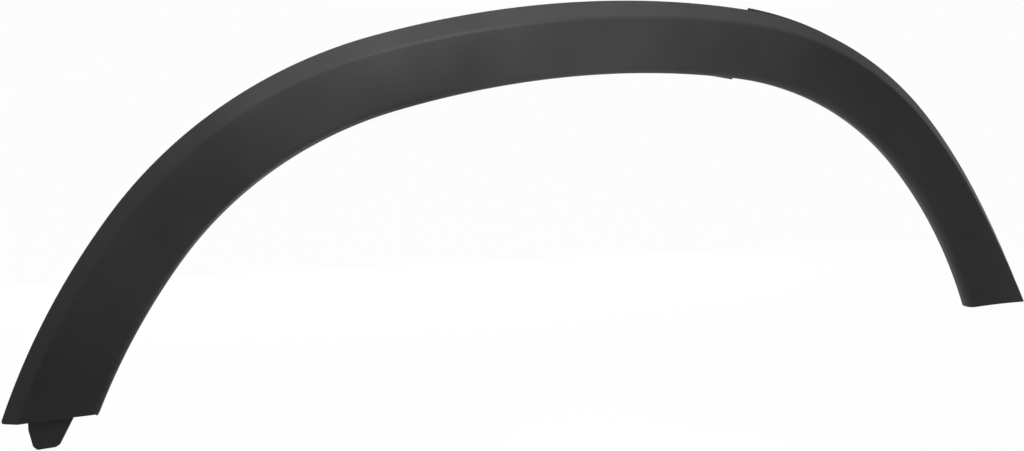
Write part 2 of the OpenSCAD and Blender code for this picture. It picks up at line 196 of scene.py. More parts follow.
def band_w(side, t):
    """Width at a share of the half length: it grows from the narrowest place to both ends."""
    at = side * t * HALF_LEN[side]
    to_left = max(0, NARROW_AT - at) / (NARROW_AT + HALF_LEN[LEFT])
    to_right = max(0, at - NARROW_AT) / (HALF_LEN[RIGHT] - NARROW_AT)
    return (NARROW_W + (END_W[LEFT] - NARROW_W) * to_left ** WIDENING[LEFT]
            + (END_W[RIGHT] - NARROW_W) * to_right ** WIDENING[RIGHT])


def bevel_w(side, t):
    return mix(CROWN_BEVEL_W, END_BEVEL_W[side], t)


def mid_n(side, s):
    """Where the clip seats stand across the band."""
    t = share(side, s, 0)
    return (band_w(side, t) - bevel_w(side, t)) / 2 + SEAT_OUTWARDS


def rounded(a, c, b, r, k):
    """Rounds the corner c between a and b with k steps of radius r."""
    u, v = (a - c).normalized(), (b - c).normalized()
    half = math.acos(max(-1, min(1, u.dot(v)))) / 2
    centre = c + (u + v).normalized() * r / math.sin(half)
    run = r / math.tan(half)
    p, q = c + u * run - centre, c + v * run - centre
    start = math.atan2(p.y, p.x)
    turn = math.atan2(q.y, q.x) - start
    turn -= 2 * math.pi * round(turn / (2 * math.pi))
    return [centre + r * Vector((math.cos(start + turn * i / k), math.sin(start + turn * i / k)))
            for i in range(k + 1)]


def bulge(q):
    """How far the face stands out at a share of its way from the crease to the roll."""
    return FACE_BULGE * 4 * q * (1 - q)


def skin(side, t):
    """Outer skin of the section, from the outer edge to the end of the return flange, and how full its wall is."""
    w = band_w(side, t)
    fold = w - bevel_w(side, t)
    edge = Vector((w, RIM_DEPTH - EDGE_H))
    rim, end = Vector((w, RIM_DEPTH)), Vector((FLANGE_DRAFT, RIM_DEPTH))
    crease_r = min(MOST_CREASE_R, mix(CROWN_CREASE_R, END_CREASE_R, min(1, CREASE_FADE * t)))
    face = [Vector((fold * (1 - q), -bulge(q))) for q in [i / FACE_STEPS for i in range(FACE_STEPS + 1)]]
    roll = rounded(face[-2], face[-1], end, ROLL_R, ROLL_STEPS)
    down, inwards, up = (edge - rim).normalized(), (face[0] - edge).normalized(), (roll[-1] - end).normalized()
    middle = rounded(rim, edge, face[0], EDGE_R, EDGE_STEPS)
    middle += [edge + inwards * far for far in CORNER_COLUMNS]
    middle += rounded(edge, face[0], face[1], crease_r, CREASE_STEPS) + face[2:-2] + roll
    line = [(rim + down * far, full) for far, full in FREE_EDGE]
    line += [(p, 1.0) for p in middle]
    line += [(end + up * far, full) for far, full in reversed(FREE_EDGE)]
    return line


def section(side, t):
    """Both skins of the section, thinned to a rounded edge at their two ends."""
    line = skin(side, t)
    points = [p for p, full in line]
    last = len(points) - 1
    outer, inner = [], []
    for i, (p, full) in enumerate(line):
        before = (points[max(i, 1)] - points[max(i, 1) - 1]).normalized()
        after = (points[min(i + 1, last)] - points[min(i, last - 1)]).normalized()
        tangent = before + after
        across = Vector((tangent.y, -tangent.x)) / (1 + before.dot(after))
        middle = p + across * WALL / 2
        outer.append(middle + (p - middle) * full)
        inner.append(middle + (middle - p) * full)
    return outer, inner


# Mesh helpers

def from_points(name, points, faces=()):
    mesh = bpy.data.meshes.new(name)
    mesh.from_pydata([tuple(p) for p in points], [], faces)
    made = bpy.data.objects.new(name, mesh)
    bpy.context.scene.collection.objects.link(made)
    return made


def freeze(name, source):
    """A plain mesh of what an object's modifiers make, with the source object removed."""
    evaluated = source.evaluated_get(bpy.context.evaluated_depsgraph_get())
    mesh = bpy.data.meshes.new_from_object(evaluated)
    made = bpy.data.objects.new(name, mesh)
    bpy.context.scene.collection.objects.link(made)
    bpy.data.objects.remove(source)
    return made


def modifier_inputs(made, tree, values):
    """Gives an object a Geometry Nodes modifier and sets its named inputs."""
    modifier = made.modifiers.new(tree.name, "NODES")
    modifier.node_group = tree
    for item in tree.interface.items_tree:
        if item.item_type == "SOCKET" and item.in_out == "INPUT" and item.name in values:
            modifier[item.identifier] = values[item.name]
    made.update_tag()
    bpy.context.view_layer.update()


def bevelled(bm, width, steps=2):
    """Rounds every edge of a solid whose faces turn by more than the sharp angle."""
    bmesh.ops.recalc_face_normals(bm, faces=bm.faces)
    sharp = [e for e in bm.edges if len(e.link_faces) == 2 and e.calc_face_angle() > SHARP]
    bmesh.ops.bevel(bm, geom=sharp, offset=width, segments=steps, profile=0.5, affect="EDGES", clamp_overlap=True)
    return bm


def prism(outline, low, high, width=0.35):
    """A bevelled solid with a flat outline in x and y, from low to high in z."""
    bm = bmesh.new()
    ground = bm.faces.new([bm.verts.new((p[0], p[1], low)) for p in outline])
    grown = bmesh.ops.extrude_face_region(bm, geom=[ground])
    lifted = [v for v in grown["geom"] if isinstance(v, bmesh.types.BMVert)]
    bmesh.ops.translate(bm, vec=(0, 0, high - low), verts=lifted)
    return bevelled(bm, width)


def turned(profile, steps=48):
    """A solid of revolution round z from points of radius and height; it starts and ends on the axis."""
    bm = bmesh.new()
    rings = []
    for r, h in profile:
        if r == 0:
            rings.append([bm.verts.new((0, 0, h))])
            continue
        turns = [2 * math.pi * i / steps for i in range(steps)]
        rings.append([bm.verts.new((r * math.cos(a), r * math.sin(a), h)) for a in turns])
    for low, high in zip(rings, rings[1:]):
        for i in range(steps):
            j = (i + 1) % steps
            ring = [low[i % len(low)], low[j % len(low)], high[j % len(high)], high[i % len(high)]]
            bm.faces.new(list(dict.fromkeys(ring)))
    bmesh.ops.recalc_face_normals(bm, faces=bm.faces)
    return bm


def softened(profile, r=0.25, k=3):
    """Rounds the corners of a turned profile, apart from its ends on the axis and corners that hardly turn."""
    points = [Vector(p) for p in profile]
    out = [points[0]]
    for a, c, b in zip(points, points[1:], points[2:]):
        # Two corners share the line between them, so each takes less than half of it
        room = min((a - c).length, (b - c).length) * 0.45
        half = math.acos(max(-1, min(1, (a - c).normalized().dot((b - c).normalized())))) / 2
        fit = min(r, room * math.tan(half))
        out += rounded(a, c, b, fit, k) if half < 1.5 else [c]
    return out + [points[-1]]


def merged(name, parts):
    """One object from several solids, each a bmesh and the matrices at which it stands, in millimetres."""
    bm = bmesh.new()
    for part, places in parts:
        mesh = bpy.data.meshes.new("part")
        part.to_mesh(mesh)
        for place in places:
            copy = mesh.copy()
            copy.transform(Matrix.Scale(MM, 4) @ place)
            bm.from_mesh(copy)
            bpy.data.meshes.remove(copy)
        bpy.data.meshes.remove(mesh)
        part.free()
    made = from_points(name, [])
    bm.to_mesh(made.data)
    bm.free()
    return made


def smooth(made, degrees=32):
    made.data.polygons.foreach_set("use_smooth", [True] * len(made.data.polygons))
    made.data.set_sharp_from_angle(angle=math.radians(degrees))


# The band: one Geometry Nodes tree carries a table of sections along the arch line

def interface(tree, sockets):
    """Named inputs, and one geometry output."""
    for name, kind in sockets:
        tree.interface.new_socket(name, in_out="INPUT", socket_type="NodeSocket" + kind)
    tree.interface.new_socket("Geometry", in_out="OUTPUT", socket_type="NodeSocketGeometry")
    return add(tree, "NodeGroupInput").outputs


def band_tree():
    """A slab of rows and columns, each vertex sent to its section point and then to its place on the arch."""
    tree = bpy.data.node_groups.new("Trim band", "GeometryNodeTree")
    given = interface(tree, [
        ("Geometry", "Geometry"), ("Arch line", "Object"), ("Sections", "Object"), ("Stations", "Int"),
        ("Columns", "Int"), ("Rows", "Int"), ("Crown at", "Float"), ("Left length", "Float"),
        ("Right length", "Float"), ("Left slant", "Float"), ("Right slant", "Float"),
        ("Left plan radius", "Float"), ("Right plan radius", "Float"), ("Rim depth", "Float"),
        ("Pin height", "Float"), ("End rounding", "Float"), ("Material", "Material"),
    ])
    slab = add(tree, "GeometryNodeMeshCube", {
        "Size": (1, 1, 1), "Vertices X": given["Rows"], "Vertices Y": given["Columns"], "Vertices Z": 2})
    position = add(tree, "GeometryNodeInputPosition").outputs[0]
    here = add(tree, "ShaderNodeSeparateXYZ", {0: position}).outputs
    # Rows close up towards both ends, where the edge is rounded
    turn = add(tree, "ShaderNodeMath", {0: here["X"], 1: math.pi}, operation="MULTIPLY").outputs[0]
    t = add(tree, "ShaderNodeMath", {0: turn}, operation="SINE").outputs[0]
    reach = add(tree, "ShaderNodeMath", {0: t}, operation="ABSOLUTE").outputs[0]
    is_left = add(tree, "ShaderNodeMath", {0: t, 1: 0.0}, operation="LESS_THAN").outputs[0]
    side = add(tree, "ShaderNodeMath", {0: is_left, 1: -2.0, 2: 1.0}, operation="MULTIPLY_ADD").outputs[0]
    half_len, slant = [
        add(tree, "GeometryNodeSwitch", {
            "Switch": is_left, "False": given["Right " + size], "True": given["Left " + size],
        }, input_type="FLOAT").outputs[0] for size in ("length", "slant")]
    # The two stations of the table on either side of this row, and the column in them
    last = add(tree, "ShaderNodeMath", {0: given["Stations"], 1: 1.0}, operation="SUBTRACT").outputs[0]
    last_but_one = add(tree, "ShaderNodeMath", {0: last, 1: 1.0}, operation="SUBTRACT").outputs[0]
    last_column = add(tree, "ShaderNodeMath", {0: given["Columns"], 1: 1.0}, operation="SUBTRACT").outputs[0]
    way = add(tree, "ShaderNodeMath", {0: t, 1: 0.5, 2: 0.5}, operation="MULTIPLY_ADD").outputs[0]
    station = add(tree, "ShaderNodeMath", {0: way, 1: last}, operation="MULTIPLY").outputs[0]
    below = add(tree, "ShaderNodeMath", {0: station}, operation="FLOOR").outputs[0]
    low = add(tree, "ShaderNodeMath", {0: below, 1: last_but_one}, operation="MINIMUM").outputs[0]
    fraction = add(tree, "ShaderNodeMath", {0: station, 1: low}, operation="SUBTRACT").outputs[0]
    over = add(tree, "ShaderNodeMath", {0: here["Y"], 1: 0.5}, operation="ADD").outputs[0]
    reached = add(tree, "ShaderNodeMath", {0: over, 1: last_column}, operation="MULTIPLY").outputs[0]
    column = add(tree, "ShaderNodeMath", {0: reached}, operation="ROUND").outputs[0]
    index = add(tree, "ShaderNodeMath", {
        0: low, 1: given["Columns"], 2: column}, operation="MULTIPLY_ADD").outputs[0]
    layer_size = add(tree, "ShaderNodeMath", {
        0: given["Stations"], 1: given["Columns"]}, operation="MULTIPLY").outputs[0]
    # The section point of the outer skin and of the inner skin, each between those two stations
    table = add(tree, "GeometryNodeObjectInfo", {"Object": given["Sections"]}).outputs["Geometry"]
    skins = []
    for layer in (0.0, 1.0):
        start = add(tree, "ShaderNodeMath", {
            0: layer_size, 1: layer, 2: index}, operation="MULTIPLY_ADD").outputs[0]
        after = add(tree, "ShaderNodeMath", {0: start, 1: given["Columns"]}, operation="ADD").outputs[0]
        ends = [add(tree, "GeometryNodeSampleIndex", {
            "Geometry": table, "Value": position, "Index": at}, data_type="FLOAT_VECTOR") for at in (start, after)]
        skins.append(add(tree, "ShaderNodeMix", {
            "Factor": fraction, 4: ends[0].outputs[0], 5: ends[1].outputs[0]}, data_type="VECTOR").outputs[1])
    is_inner = add(tree, "ShaderNodeMath", {0: here["Z"], 1: 0.0}, operation="GREATER_THAN").outputs[0]
    middle, own = [
        add(tree, "ShaderNodeMix", {"Factor": factor, 4: skins[0], 5: skins[1]}, data_type="VECTOR").outputs[1]
        for factor in (0.5, is_inner)]
    # The wall thins over the last part of a millimetre, which rounds the cut edge at both ends
    left_over = add(tree, "ShaderNodeMath", {0: 1.0, 1: reach}, operation="SUBTRACT").outputs[0]
    to_end = add(tree, "ShaderNodeMath", {0: left_over, 1: half_len}, operation="MULTIPLY").outputs[0]
    inside = add(tree, "ShaderNodeMath", {
        0: to_end, 1: given["End rounding"]}, operation="DIVIDE", use_clamp=True).outputs[0]
    short = add(tree, "ShaderNodeMath", {0: 1.0, 1: inside}, operation="SUBTRACT").outputs[0]
    squared = add(tree, "ShaderNodeMath", {0: short, 1: short}, operation="MULTIPLY").outputs[0]
    rest = add(tree, "ShaderNodeMath", {0: 1.0, 1: squared}, operation="SUBTRACT").outputs[0]
    root = add(tree, "ShaderNodeMath", {0: rest}, operation="SQRT").outputs[0]
    full = add(tree, "ShaderNodeMath", {0: root, 1: 0.5, 2: 0.5}, operation="MULTIPLY_ADD").outputs[0]
    in_section = add(tree, "ShaderNodeMix", {
        "Factor": full, 4: middle, 5: own}, data_type="VECTOR").outputs[1]
    # Across the band, deep behind its face, and how far its rounded corner stands back
    n, d, cut = add(tree, "ShaderNodeSeparateXYZ", {0: in_section}).outputs
    # Along the arch line, and then outwards across the band
    longest = add(tree, "ShaderNodeMath", {0: slant, 1: n, 2: half_len}, operation="MULTIPLY_ADD").outputs[0]
    length = add(tree, "ShaderNodeMath", {0: longest, 1: cut}, operation="SUBTRACT").outputs[0]
    s = add(tree, "ShaderNodeMath", {0: reach, 1: length}, operation="MULTIPLY").outputs[0]
    on_line = add(tree, "ShaderNodeMath", {
        0: side, 1: s, 2: given["Crown at"]}, operation="MULTIPLY_ADD").outputs[0]
    line = add(tree, "GeometryNodeObjectInfo", {"Object": given["Arch line"]}).outputs["Geometry"]
    at = add(tree, "GeometryNodeSampleCurve", {"Curves": line, "Length": on_line}, mode="LENGTH").outputs
    place = add(tree, "ShaderNodeSeparateXYZ", {0: at["Position"]}).outputs
    heading = add(tree, "ShaderNodeSeparateXYZ", {0: at["Tangent"]}).outputs
    out_x = add(tree, "ShaderNodeMath", {0: n, 1: heading["Z"]}, operation="MULTIPLY").outputs[0]
    x = add(tree, "ShaderNodeMath", {0: place["X"], 1: out_x}, operation="SUBTRACT").outputs[0]
    up = add(tree, "ShaderNodeMath", {0: n, 1: heading["X"], 2: place["Z"]}, operation="MULTIPLY_ADD").outputs[0]
    z = add(tree, "ShaderNodeMath", {0: up, 1: given["Pin height"]}, operation="SUBTRACT").outputs[0]
    # The plan curve wraps it round the body
    is_left_of_crown = add(tree, "ShaderNodeMath", {0: x, 1: 0.0}, operation="LESS_THAN").outputs[0]
    radius = add(tree, "GeometryNodeSwitch", {
        "Switch": is_left_of_crown, "False": given["Right plan radius"], "True": given["Left plan radius"],
    }, input_type="FLOAT").outputs[0]
    r_squared = add(tree, "ShaderNodeMath", {0: radius, 1: radius}, operation="MULTIPLY").outputs[0]
    x_squared = add(tree, "ShaderNodeMath", {0: x, 1: x}, operation="MULTIPLY").outputs[0]
    gap_squared = add(tree, "ShaderNodeMath", {0: r_squared, 1: x_squared}, operation="SUBTRACT").outputs[0]
    gap = add(tree, "ShaderNodeMath", {0: gap_squared}, operation="SQRT").outputs[0]
    bow = add(tree, "ShaderNodeMath", {0: radius, 1: gap}, operation="SUBTRACT").outputs[0]
    deep = add(tree, "ShaderNodeMath", {0: bow, 1: d}, operation="ADD").outputs[0]
    y = add(tree, "ShaderNodeMath", {0: deep, 1: given["Rim depth"]}, operation="SUBTRACT").outputs[0]
    moved = add(tree, "GeometryNodeSetPosition", {
        "Geometry": slab.outputs["Mesh"],
        "Position": add(tree, "ShaderNodeCombineXYZ", {0: x, 1: y, 2: z}).outputs[0]})
    whole = add(tree, "GeometryNodeRealizeInstances", {0: moved.outputs[0]})
    done = add(tree, "GeometryNodeSetMaterial", {0: whole.outputs[0], "Material": given["Material"]})
    add(tree, "NodeGroupOutput", {"Geometry": done.outputs[0]})
    return tree


def corner_cut(side, t, n):
    """How far the band's end stands back at its rounded outer corner."""
    over = n - band_w(side, 1) + CUT_CORNER_R
    if t < 1 or over <= 0:
        return 0
    return CUT_CORNER_R - math.sqrt(max(0, CUT_CORNER_R ** 2 - over ** 2))


def make_band(material):
    table, columns = [[], []], 0
    for k in range(STATIONS):
        t = 2 * k / (STATIONS - 1) - 1
        side = LEFT if t < 0 else RIGHT
        for layer, line in enumerate(section(side, abs(t))):
            table[layer] += [(p.x * MM, p.y * MM, corner_cut(side, abs(t), p.x) * MM) for p in line]
            columns = len(line)
    sections = from_points("sections", table[0] + table[1])
    # The arch line runs past both ends of the band, because the outer edge is longer than the opening
    route = [(LEFT, along(LEFT, s)) for s in range(LINE_LEN[LEFT], 0, -LINE_STEP)]
    route += [(RIGHT, along(RIGHT, s)) for s in range(0, LINE_LEN[RIGHT], LINE_STEP)]
    curve = bpy.data.curves.new("arch_line", "CURVE")
    curve.dimensions = "3D"
    spline = curve.splines.new("POLY")
    spline.points.add(len(route) - 1)
    for point, (side, (x, z, a)) in zip(spline.points, route):
        point.co = (side * x * MM, 0, z * MM, 1)
    arch_line = bpy.data.objects.new("arch_line", curve)
    bpy.context.scene.collection.objects.link(arch_line)
    source = from_points("band", [(0, 0, 0)])
    modifier_inputs(source, band_tree(), {
        "Arch line": arch_line, "Sections": sections, "Stations": STATIONS, "Columns": columns, "Rows": ROWS,
        "Crown at": LINE_LEN[LEFT] * MM, "Left length": CUT_LEN[LEFT] * MM, "Right length": CUT_LEN[RIGHT] * MM,
        "Left slant": CUT_SLANT[LEFT], "Right slant": CUT_SLANT[RIGHT],
        "Left plan radius": PLAN_R[LEFT] * MM, "Right plan radius": PLAN_R[RIGHT] * MM,
        "Rim depth": RIM_DEPTH * MM, "Pin height": PIN_H * MM, "End rounding": CUT_EDGE_R * MM,
        "Material": material,
    })
    band = freeze("band", source)
    bpy.data.objects.remove(sections)
    bpy.data.objects.remove(arch_line)
    return band


# What stands on the back of the band

def on_arch(side, s, n, turn=0.0):
    """Local axes: x leftwards along the band, y outwards across it, z into the body."""
    slope = along(side, s)[2]
    tilt = Euler((math.radians(90), 0, math.radians(180) + turn)).to_matrix().to_4x4()
    return Matrix.Translation(spot(side, s, n, 0)) @ tilt @ Matrix.Rotation(side * slope, 4, "Z")


def on_back(side, s, n):
    """The same axes, square on the curved back of the face."""
    x = spot(side, s, n, 0).x
    return on_arch(side, s, n, math.asin(x / plan_r(x)))


def spread(first, last, count):
    return [mix(first, last, i / (count - 1)) for i in range(count)]


SEATS = [(side, s) for side in (LEFT, RIGHT) for s in spread(*SEAT_SPAN[side], SEAT_COUNT)]


def seat_parts():
    """Open box with a slot in its roof, for the foot of a clip."""
    l, w, r = SEAT_L / 2, SEAT_W / 2, NECK_D / 2 + NECK_PLAY
    arc = [(r * math.sin(a), r * math.cos(a)) for a in [math.pi * i / 16 for i in range(17)]]
    roof = [(-l, -w), (l, -w), (l, w), (-l, w), (-l, r + SLOT_FLARE), (SLOT_LEAD - l, r)]
    roof += arc + [(SLOT_LEAD - l, -r), (-l, -r - SLOT_FLARE)]
    walls = [(-l, -w), (l, -w), (l, w), (-l, w), (-l, w - SEAT_WALL), (l - SEAT_WALL, w - SEAT_WALL),
             (l - SEAT_WALL, SEAT_WALL - w), (-l, SEAT_WALL - w)]
    return [prism(walls, ROOT_D, ROOF_UNDER + ROOF_BITE), prism(roof, ROOF_UNDER, ROOF_TOP, width=0.3)]


def pin_parts():
    """Round pin on a disc, carried by two crossed plates."""
    under, top = RIM_DEPTH - DISC_T, RIM_DEPTH + PIN_LEN
    pin = turned(softened([(0, under), (FIN_REACH, under), (FIN_REACH, RIM_DEPTH), (PIN_D / 2, RIM_DEPTH),
                           (PIN_D / 2, top), (PIN_D / 2 - PIN_TIP, top + PIN_TIP), (0, top + PIN_TIP)], 0.4))
    long, thin = FIN_REACH - BITE, FIN_T / 2
    plates = [[(-long, -thin), (long, -thin), (long, thin), (-long, thin)],
              [(-thin, -long), (thin, -long), (thin, long), (-thin, long)]]
    return [pin] + [prism(plate, ROOT_D, under + BITE, width=0.3) for plate in plates]


def tab_part():
    """Rounded tab with a screw hole; it lies in x and z and is as thick as its size in y."""
    right, root, tip = TAB_W / 2, RIM_DEPTH - TAB_LAP, RIM_DEPTH + TAB_REACH
    corners = [Vector(p) for p in [(right, root), (right, tip), (-right, tip), (-right, root)]]
    outline = corners[:1] + rounded(*corners[:3], TAB_CORNER_R, TAB_CORNER_STEPS)
    outline += rounded(*corners[1:], TAB_CORNER_R, TAB_CORNER_STEPS) + corners[3:]
    # Rays from the middle of the hole, through every point of the outline and evenly round the hole
    centre = Vector((0, tip - SCREW_MARGIN))
    angles = [math.atan2(*(p - centre).yx) for p in outline]
    angles += [2 * math.pi * i / HOLE_STEPS - 3 for i in range(HOLE_STEPS)]
    bm = bmesh.new()
    loops = []
    for a in sorted(angles):
        ray = Vector((math.cos(a), math.sin(a)))
        hits = [crossing(centre, ray, p, q) for p, q in zip(outline, outline[1:] + outline[:1])]
        far = min(hit for hit in hits if hit is not None)
        ends = [centre + ray * r for r in (far, SCREW_D / 2)]
        loops.append([bm.verts.new((p.x, y, p.y)) for p in ends for y in (0, TAB_T)])
    # Each loop goes from the outline to the hole: front and back out there, front and back in the hole
    for a, b in zip(loops, loops[1:] + loops[:1]):
        for face in ((a[0], b[0], b[2], a[2]), (a[1], a[3], b[3], b[1]), (a[0], a[1], b[1], b[0]),
                     (a[2], b[2], b[3], a[3])):
            bm.faces.new(face)
    bmesh.ops.remove_doubles(bm, verts=bm.verts, dist=0.01)
    return bevelled(bm, width=0.3)


def crossing(start, ray, p, q):
    """Distance along a ray to the piece of line from p to q, or None."""
    edge = q - p
    cross = ray.x * edge.y - ray.y * edge.x
    if abs(cross) < 1e-9:
        return None
    gap = p - start
    far = (gap.x * edge.y - gap.y * edge.x) / cross
    share_of_edge = (gap.x * ray.y - gap.y * ray.x) / cross
    return far if far > 0 and -1e-6 <= share_of_edge <= 1 + 1e-6 else None


def tab_root_part():
    """Thickened root of a tab under the return flange: a low wedge that ends in a step."""
    wedge = [(-10, 1.2), (-10, -0.9), (-9, -0.9), (10, 0.2), (10, 1.2)]
    return prism(wedge, TAB_ROOT_FRONT, RIM_DEPTH - TAB_SET_IN, width=0.25)


def tab_place(side, s):
    """Stands a tab under the return flange, along the plan curve."""
    slope = along(side, s)[2]
    x = spot(side, s, 0, 0).x
    lean = math.atan(math.tan(math.asin(x / plan_r(x))) * math.cos(slope))
    return on_arch(side, s, FLANGE_DRAFT + TAB_SET_IN) @ Matrix.Rotation(lean, 4, "Y")


def gusset_part(side, s):
    """Thin web in the hollow of the roll, drawn in place."""
    t = share(side, s, 0)
    fold = band_w(side, t) - bevel_w(side, t)
    q = 1 - GUSSET_REACH / fold
    deep = WALL - bulge(q)
    top = RIM_DEPTH - GUSSET_STEP
    outline = [(WALL / 2, top), (WALL + GUSSET_TOP_W, top), (GUSSET_REACH, deep + GUSSET_TOE),
               (GUSSET_REACH, deep - BITE)]
    bend = ROLL_R - WALL / 2
    turns = [math.radians(a) for a in range(90, -1, -15)]
    outline += [(ROLL_R - bend * math.cos(a), ROLL_R - bend * math.sin(a)) for a in turns]
    foot = spot(side, s, 0, 0).y
    flat = [(n, spot(side, s, n, d).y - foot) for n, d in outline]
    return prism(flat, -GUSSET_T / 2, GUSSET_T / 2, width=0.2)


def gusset_place(side, s):
    """Stands the outline's x across the band and its y into the body."""
    return on_arch(side, s, 0) @ Matrix(((0, 0, 1, 0), (1, 0, 0, 0), (0, 1, 0, 0), (0, 0, 0, 1)))


def tongue_part():
    """Flat tongue with cut corners, and a block that joins it to the back of the face."""
    left, right = TONGUE_LEFT, TONGUE_RIGHT
    outline = [(right, TONGUE_LAP), (left, TONGUE_LAP), (left, 0)]
    corners = [Vector(p) for p in [(left, 0)] + TONGUE_CORNERS + [(right, 0)]]
    for a, c, b in zip(corners, corners[1:], corners[2:]):
        outline += rounded(a, c, b, TONGUE_CORNER_R, 3)
    outline.append((right, 0))
    front = WALL - BITE
    tongue = prism(outline, -front - TONGUE_T, -front, width=0.45)
    block = [(left, BITE), (right, BITE), (right, TONGUE_LAP), (left, TONGUE_LAP)]
    return [tongue, prism(block, -front - TONGUE_T, -ROOT_D, width=0.3)]


def nub_part():
    """Small nub that the roll's wall ends in, at the inner corner of the left end."""
    outline = [(0.4, 8), (1.1, 4.9), (2.5, 2.8), (4.4, 4.5), (3.2, 7.8)]
    return prism(outline, -NUB_LAP, NUB_REACH, width=0.4)


def tongue_place():
    """Stands the tongue's x along the left end's cut, from the outer corner inwards."""
    outer = spot(LEFT, CUT_LEN[LEFT] + CUT_SLANT[LEFT] * END_W[LEFT], END_W[LEFT], 0)
    cut = spot(LEFT, CUT_LEN[LEFT], 0, 0) - outer
    tilt = Matrix.Rotation(math.atan2(cut.y, cut.x), 4, "Z")
    tilt = tilt @ Matrix.Rotation(-math.atan2(cut.z, math.hypot(cut.x, cut.y)), 4, "Y")
    return Matrix.Translation(outer) @ tilt @ Matrix.Rotation(math.radians(90), 4, "X")


def lip_part():
    """Low lip on the rear of the outer edge, highest at its square start."""
    bm = bmesh.new()
    rings = []
    for way in [i / LIP_STEPS for i in range(LIP_STEPS + 1)]:
        s = LIP_START + LIP_LEN * way
        t = s / HALF_LEN[RIGHT]
        w = band_w(RIGHT, t)
        top, foot = w + mix(LIP_H, -WALL / 4, way), w - WALL / 2
        loop = [(foot, LIP_FRONT), (top, LIP_FRONT), (top, LIP_REAR), (foot, LIP_REAR)]
        rings.append([bm.verts.new(spot(RIGHT, s + t * END_SLANT[RIGHT] * n, n, d)) for n, d in loop])
    for a, b in zip(rings, rings[1:]):
        for i in range(4):
            bm.faces.new([a[i], a[(i + 1) % 4], b[(i + 1) % 4], b[i]])
    bm.faces.new(rings[0])
    bm.faces.new(rings[-1])
    return bevelled(bm, width=0.2)


def back_parts():
    """Every solid that stands on the band, each with the matrices at which it stands."""
    tabs = [(LEFT, s) for s in spread(*LEFT_TAB_SPAN, LEFT_TAB_COUNT)] + [(RIGHT, RIGHT_TAB_AT)]
    pins = [on_back(LEFT, 0, PIN_H), on_back(LEFT, SECOND_PIN_AT, mid_n(LEFT, SECOND_PIN_AT))]
    parts = [(part, [on_back(side, s, mid_n(side, s)) for side, s in SEATS]) for part in seat_parts()]
    parts += [(part, pins) for part in pin_parts()]
    parts.append((tab_part(), [tab_place(side, s) for side, s in tabs]))
    for side in (LEFT, RIGHT):
        for s in range(GUSSET_FIRST, HALF_LEN[side] - GUSSET_MARGIN + 1, GUSSET_PITCH):
            parts.append((gusset_part(side, s), [gusset_place(side, s)]))
    parts += [(part, [tongue_place()]) for part in tongue_part()]
    parts.append((tab_root_part(), [on_arch(RIGHT, TAB_ROOT_AT, 0)]))
    parts.append((nub_part(), [gusset_place(LEFT, CUT_LEN[LEFT])]))
    parts.append((lip_part(), [Matrix()]))
    return parts


def clip_part():
    """Turned push-in clip: foot, neck, dished skirt, barbed stem and tip."""
    neck, skirt, stem, barb = NECK_D / 2, SKIRT_D / 2, STEM_D / 2, BARB_D / 2
    hub = ROOF_TOP + SKIRT_GAP
    first = hub + SKIRT_RISE + SKIRT_T + BARB_LEAD
    top = first + BARB_COUNT * BARB_PITCH
    line = [(0, ROOF_UNDER - FOOT_T), (FOOT_D / 2, ROOF_UNDER - FOOT_T), (FOOT_D / 2, ROOF_UNDER),
            (neck, ROOF_UNDER), (neck, hub), (neck + SKIRT_FLAT, hub), (skirt, hub + SKIRT_RISE),
            (skirt, hub + SKIRT_RISE + SKIRT_T), (stem + SKIRT_T, hub + SKIRT_T + SKIRT_DISH)]
    # Radius and height of each barb's corners, as shares of the pitch
    for i in range(BARB_COUNT):
        line += [(r, first + (i + rise) * BARB_PITCH) for r, rise in
                 ((stem, 0), (barb, 0.1), (barb, 0.25), (stem, 0.9))]
    line += [(stem, top), (CLIP_TIP_R, top + CLIP_TIP), (0, top + CLIP_TIP)]
    return turned(softened(line))


# Materials

def new_material(name):
    material = bpy.data.materials.new(name)
    material.use_nodes = True
    material.node_tree.nodes.clear()
    return material, material.node_tree


def moulded_black_polypropylene():
    """Injection-moulded black polypropylene: a dull charcoal from fine spark-eroded grain, a little clouded."""
    material, tree = new_material("Injection moulded black polypropylene, fine grain")
    place = add(tree, "ShaderNodeTexCoord").outputs["Object"]
    # Grain cells of about 0.4 mm, as a spark-eroded mould gives
    grain = add(tree, "ShaderNodeTexNoise", {"Vector": place, "Scale": 2500, "Detail": 3, "Roughness": 0.6})
    # Clouding 60 to 120 mm across, where the flow of the melt changed the gloss
    cloud = add(tree, "ShaderNodeTexNoise", {"Vector": place, "Scale": 11, "Detail": 2, "Roughness": 0.45})
    tone = add(tree, "ShaderNodeValToRGB", {"Fac": cloud.outputs["Fac"]})
    tone.color_ramp.elements[0].color, tone.color_ramp.elements[1].color = colour("#313131"), colour("#3a3939")
    tone.color_ramp.elements[0].position, tone.color_ramp.elements[1].position = 0.35, 0.65
    dull = add(tree, "ShaderNodeMapRange", {
        "Value": cloud.outputs["Fac"], "From Min": 0.35, "From Max": 0.65, "To Min": 0.46, "To Max": 0.54})
    bump = add(tree, "ShaderNodeBump", {"Height": grain.outputs["Fac"], "Strength": 0.25, "Distance": 0.00005})
    # The grain swallows most of the gloss, so the white surroundings show in it only faintly
    shader = add(tree, "ShaderNodeBsdfPrincipled", {
        "Base Color": tone.outputs["Color"], "Roughness": dull.outputs["Result"], "Normal": bump.outputs["Normal"],
        "IOR": 1.49, "Specular IOR Level": 0.1, "Metallic": 0.0})
    add(tree, "ShaderNodeOutputMaterial", {"Surface": shader.outputs[0]})
    return material


